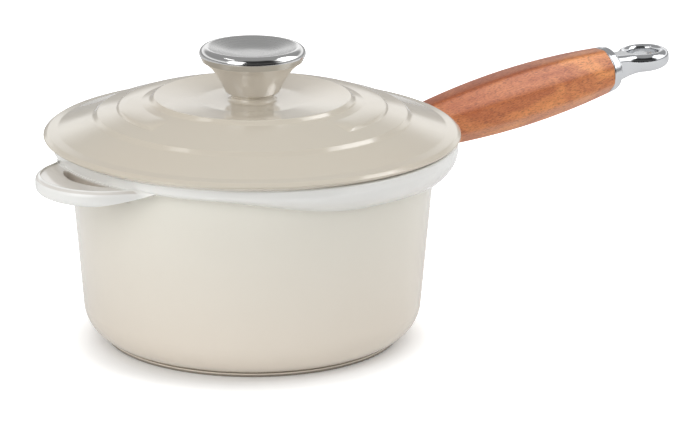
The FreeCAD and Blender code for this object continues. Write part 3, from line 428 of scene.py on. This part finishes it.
def pan_enamel():
    """Two-tone enamel, with bare iron on the foot that also paints the contact shadow's dark line, and
    painted shade in the loop's recess and slot.
    """
    material, sums, give = new_material("pan_enamel")
    place = sums.place()
    x, y, z = sums.split(place)
    radius, bearing = sums.polar(x, y)
    base = wall_color(sums, z, radius, bearing)
    shaded = shade_loop(sums, z, radius, bearing, base)
    # bare iron on the foot, also standing for the contact shadow's dark line
    iron = sums.ramp(z, FOOT_EDGE, (1.0, 0.0))
    finish_enamel(sums, give, place, sums.mix(iron, shaded, FOOT_IRON_AND_SHADE))
    return material


def lid_enamel():
    """Beige that drifts a little between two tones."""
    material, sums, give = new_material("lid_enamel")
    place = sums.place()
    drift = sums.ramp(sums.noise(place, *LID_DRIFT_NOISE), LID_DRIFT_EDGE)
    finish_enamel(sums, give, place, sums.mix(drift, LID_BEIGE, LID_WARM))
    return material


def grip_top_shade(sums, along):
    """How much painted shade darkens the grip's top face; 0 past that face's edges."""
    y, z = sums.split(along)[1:]
    over_axis = sums.math("MAXIMUM", sums.math("SUBTRACT", z, GRIP_AXIS_HEIGHT), MM)
    slope = sums.math("DIVIDE", sums.math("ABSOLUTE", y), over_axis)
    return sums.ramp(slope, TOP_EDGE, TOP_SHADE_SHARE)


def handle_wood():
    """Oiled hardwood: red-brown to orange, in broad soft clouds with fine short pores along the grip,
    with painted shade on its top face.
    """
    material, sums, give = new_material("handle_wood")
    along = sums.mapped(sums.place(), rotation=(0, HANDLE_TILT, 0))
    clouds = sums.noise(sums.mapped(along, scale=CLOUD_STRETCH), *CLOUD_NOISE)
    bands = sums.noise(sums.mapped(along, scale=BAND_STRETCH), *BAND_NOISE)
    pores = sums.noise(sums.mapped(along, scale=PORE_STRETCH), *PORE_NOISE)
    color = sums.mix(sums.ramp(clouds, CLOUD_EDGE), WOOD_DARK, WOOD_LIGHT)
    for share, coat_color in (
        (sums.ramp(bands, BAND_EDGE, BAND_SHARE), WOOD_BAND),
        (sums.ramp(sums.split(along)[0], ROOT_EDGE, ROOT_SHARE), WOOD_DARK),
        # painted shade on the grip's top face
        (grip_top_shade(sums, along), WOOD_TOP_SHADE),
        (sums.ramp(pores, PORE_EDGE, PORE_SHARE), WOOD_PORE),
        (sums.ramp(pores, FLECK_EDGE, FLECK_SHARE), WOOD_FLECK),
    ):
        color = sums.mix(share, color, coat_color)
    give("Base Color", color)
    give("Roughness", sums.ramp(pores, WOOD_GLOSS_EDGE, WOOD_ROUGHNESS))
    give("Normal", sums.bump(pores, *PORE_BUMP))
    give("Coat Weight", WOOD_COAT)
    give("Coat Roughness", WOOD_COAT_ROUGHNESS)
    return material


def polished_chrome():
    """Mirror-bright chrome with faint smudges."""
    material, sums, give = new_material("handle_chrome")
    place = sums.place()
    give("Base Color", sums.mix(sums.noise(place, *CHROME_TINT_NOISE), *CHROME_COLORS))
    give("Roughness", sums.ramp(sums.noise(place, *SMUDGE_NOISE), SMUDGE_EDGE, CHROME_ROUGHNESS))
    give("Normal", sums.bump(sums.noise(place, *CHROME_WAVE_NOISE), *CHROME_WAVE_BUMP))
    give("Metallic", 1.0)
    return material


def turned_steel(name, colors, polish_edge, polish):
    """Steel with the fine circular marks of the lathe; its polish changes with the radius."""
    material, sums, give = new_material(name)
    x, y, z = sums.split(sums.place())
    radius = sums.polar(x, y)[0]
    rings = sums.nodes.new("ShaderNodeTexNoise")
    rings.noise_dimensions = "1D"
    sums.plug(TURNING_SCALE, rings.inputs["Scale"])
    sums.plug(TURNING_DETAIL, rings.inputs["Detail"])
    sums.plug(sums.math("ADD", radius, z), rings.inputs["W"])
    marks = rings.outputs["Fac"]
    rough = sums.ramp(radius, polish_edge, polish)
    give("Base Color", sums.mix(marks, *colors))
    give("Roughness", sums.math("ADD", rough, sums.ramp(marks, TURNING_EDGE, TURNING_GRAIN)))
    depth = sums.math("MULTIPLY", marks, sums.ramp(rough, TURNING_DEPTH_EDGE))
    give("Normal", sums.bump(depth, *TURNING_BUMP))
    give("Metallic", 1.0)
    return material


def plain_steel():
    material, sums, give = new_material("steel")
    grain = sums.noise(sums.place(), *STEEL_NOISE)
    give("Base Color", sums.mix(grain, *STEEL_COLORS))
    give("Roughness", sums.ramp(grain, STEEL_EDGE, STEEL_ROUGHNESS))
    give("Metallic", 1.0)
    return material


def paint(material, *nodes):
    for node in nodes:
        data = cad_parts[node].data
        data.materials.clear()
        data.materials.append(material)


make_camera()
make_floor()
make_world()
for values in SOFTBOXES:
    make_softbox(*values)
paint(pan_enamel(), "pan_body")
paint(lid_enamel(), "lid")
paint(handle_wood(), "wood_handle")
paint(polished_chrome(), "end_collar", "hanging_eye")
paint(turned_steel("knob_steel", BODY_STEEL_COLORS, BODY_POLISH_EDGE, BODY_POLISH), "knob_body")
paint(turned_steel("knob_cap_steel", CAP_STEEL_COLORS, CAP_POLISH_EDGE, CAP_POLISH), "knob_cap")
paint(plain_steel(), "tie_rod", "knob_insert", "knob_washer", "knob_screw")
bpy.context.scene.view_settings.view_transform = "Standard"
